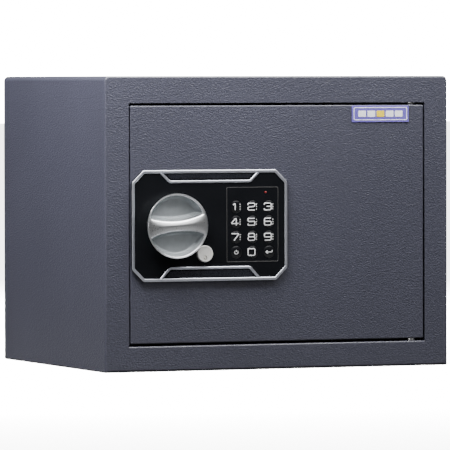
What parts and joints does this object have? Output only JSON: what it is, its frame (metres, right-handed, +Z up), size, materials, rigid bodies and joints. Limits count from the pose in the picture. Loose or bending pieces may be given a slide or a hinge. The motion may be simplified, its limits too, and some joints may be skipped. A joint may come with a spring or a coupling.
{
  "type": "in-room safe",
  "caption": "Front-opening electronic in-room safe: folded steel cabinet, flush hinged door, keypad, turning knob, sliding bolts and emergency key lock.",
  "frame": {"origin": "centre of the cabinet's base, on the surface it stands on", "axes": "+X to the right as seen facing the door, +Y to the back, +Z up"},
  "size_m": [0.38, 0.318, 0.3],
  "materials": {
    "powder_coat": "fine textured graphite powder coat",
    "felt": "dark grey needle felt",
    "zinc": "zinc plated",
    "bright_steel": "bright turned steel",
    "black_gloss": "high gloss black",
    "black_matt": "fine matt moulding",
    "silver_trim": "satin silver",
    "satin_chrome": "satin chrome on die-cast zinc",
    "brass": "turned",
    "circuit_board": "solder mask",
    "red_lens": "clear red",
    "red_plastic": "gloss",
    "cream_plastic": "satin cream white",
    "badge_print": "printed blue plate",
    "cell_jacket": "printed cell jacket"
  },
  "bodies": {
    "cabinet": {"cabinet_shell": "powder_coat", "back_panel": "powder_coat", "floor_mat": "felt"},
    "door": {"door_plate": "powder_coat", "lock_cover": "powder_coat", "hinge_boss_top": "zinc", "hinge_boss_bottom": "zinc", "bolt_guide": "zinc", "solenoid_body": "zinc", "key_lock_body": "zinc", "cover_screw_1": "zinc", "cover_screw_2": "zinc", "cover_screw_3": "zinc", "cover_screw_4": "zinc", "hinge_pin_top": "bright_steel", "hinge_pin_bottom": "bright_steel", "hinge_washer_top": "bright_steel", "hinge_washer_bottom": "bright_steel", "guide_stud_upper": "bright_steel", "guide_stud_lower": "bright_steel", "fascia": "black_gloss", "buzzer": "black_matt", "keypad_cable": "black_matt", "battery_box": "black_matt", "fascia_trim": "silver_trim", "knob_bush": "brass", "keypad_board": "circuit_board", "control_board": "circuit_board", "status_led": "red_lens", "badge": "badge_print", "battery_1": "cell_jacket", "battery_2": "cell_jacket", "battery_3": "cell_jacket", "battery_4": "cell_jacket"},
    "knob": {"knob": "satin_chrome", "knob_spindle": "bright_steel", "crank_plate": "zinc"},
    "bolts": {"bolt_carriage": "zinc", "bolt_upper": "bright_steel", "bolt_lower": "bright_steel"},
    "plunger": {"solenoid_plunger": "bright_steel", "solenoid_spring": "bright_steel"},
    "lid": {"battery_lid": "black_matt"},
    "reset": {"reset_button": "red_plastic"},
    "cap": {"emergency_cap": "cream_plastic"},
    "key_plug": {"lock_plug": "brass", "lock_cam": "zinc"},
    "key_1": {"key_1": "black_gloss"},
    "key_2": {"key_2": "black_gloss"},
    "key_3": {"key_3": "black_gloss"},
    "key_4": {"key_4": "black_gloss"},
    "key_5": {"key_5": "black_gloss"},
    "key_6": {"key_6": "black_gloss"},
    "key_7": {"key_7": "black_gloss"},
    "key_8": {"key_8": "black_gloss"},
    "key_9": {"key_9": "black_gloss"},
    "key_on": {"key_on": "black_gloss"},
    "key_0": {"key_0": "black_gloss"},
    "key_enter": {"key_enter": "black_gloss"}
  },
  "joints": [
    {"name": "door_hinge", "type": "hinge", "parent": "cabinet", "child": "door", "pos_m": [0.1502, -0.1445, 0.15], "axis": [0, 0, 1], "range_deg": [0, 100]},
    {"name": "knob_turn", "type": "hinge", "parent": "door", "child": "knob", "pos_m": [-0.1175, -0.15, 0.1482], "axis": [0, -1, 0], "range_deg": [0, 90]},
    {"name": "bolt_slide", "type": "slide", "parent": "door", "child": "bolts", "axis": [-1, 0, 0], "range_m": [0, 0.017]},
    {"name": "plunger_drop", "type": "slide", "parent": "door", "child": "plunger", "axis": [0, 0, -1], "range_m": [0, 0.006], "deforming": ["solenoid_spring"]},
    {"name": "lid_pull", "type": "slide", "parent": "door", "child": "lid", "axis": [0, 1, 0], "range_m": [0, 0.03]},
    {"name": "reset_press", "type": "slide", "parent": "door", "child": "reset", "axis": [0, -1, 0], "range_m": [0, 0.0012], "stiffness_N_per_m": 300},
    {"name": "cap_pull", "type": "slide", "parent": "door", "child": "cap", "axis": [0, -1, 0], "range_m": [0, 0.02]},
    {"name": "key_plug_turn", "type": "hinge", "parent": "door", "child": "key_plug", "pos_m": [-0.0832, -0.15, 0.1193], "axis": [0, -1, 0], "range_deg": [0, 90]},
    {"name": "key_1_press", "type": "slide", "parent": "door", "child": "key_1", "axis": [0, 1, 0], "range_m": [0, 0.0008], "stiffness_N_per_m": 300},
    {"name": "key_2_press", "type": "slide", "parent": "door", "child": "key_2", "axis": [0, 1, 0], "range_m": [0, 0.0008], "stiffness_N_per_m": 300},
    {"name": "key_3_press", "type": "slide", "parent": "door", "child": "key_3", "axis": [0, 1, 0], "range_m": [0, 0.0008], "stiffness_N_per_m": 300},
    {"name": "key_4_press", "type": "slide", "parent": "door", "child": "key_4", "axis": [0, 1, 0], "range_m": [0, 0.0008], "stiffness_N_per_m": 300},
    {"name": "key_5_press", "type": "slide", "parent": "door", "child": "key_5", "axis": [0, 1, 0], "range_m": [0, 0.0008], "stiffness_N_per_m": 300},
    {"name": "key_6_press", "type": "slide", "parent": "door", "child": "key_6", "axis": [0, 1, 0], "range_m": [0, 0.0008], "stiffness_N_per_m": 300},
    {"name": "key_7_press", "type": "slide", "parent": "door", "child": "key_7", "axis": [0, 1, 0], "range_m": [0, 0.0008], "stiffness_N_per_m": 300},
    {"name": "key_8_press", "type": "slide", "parent": "door", "child": "key_8", "axis": [0, 1, 0], "range_m": [0, 0.0008], "stiffness_N_per_m": 300},
    {"name": "key_9_press", "type": "slide", "parent": "door", "child": "key_9", "axis": [0, 1, 0], "range_m": [0, 0.0008], "stiffness_N_per_m": 300},
    {"name": "key_on_press", "type": "slide", "parent": "door", "child": "key_on", "axis": [0, 1, 0], "range_m": [0, 0.0008], "stiffness_N_per_m": 300},
    {"name": "key_0_press", "type": "slide", "parent": "door", "child": "key_0", "axis": [0, 1, 0], "range_m": [0, 0.0008], "stiffness_N_per_m": 300},
    {"name": "key_enter_press", "type": "slide", "parent": "door", "child": "key_enter", "axis": [0, 1, 0], "range_m": [0, 0.0008], "stiffness_N_per_m": 300}
  ],
  "couplings": [
    {"joint": "bolt_slide", "follows": "knob_turn", "m_per_rad": 0.010804}
  ]
}
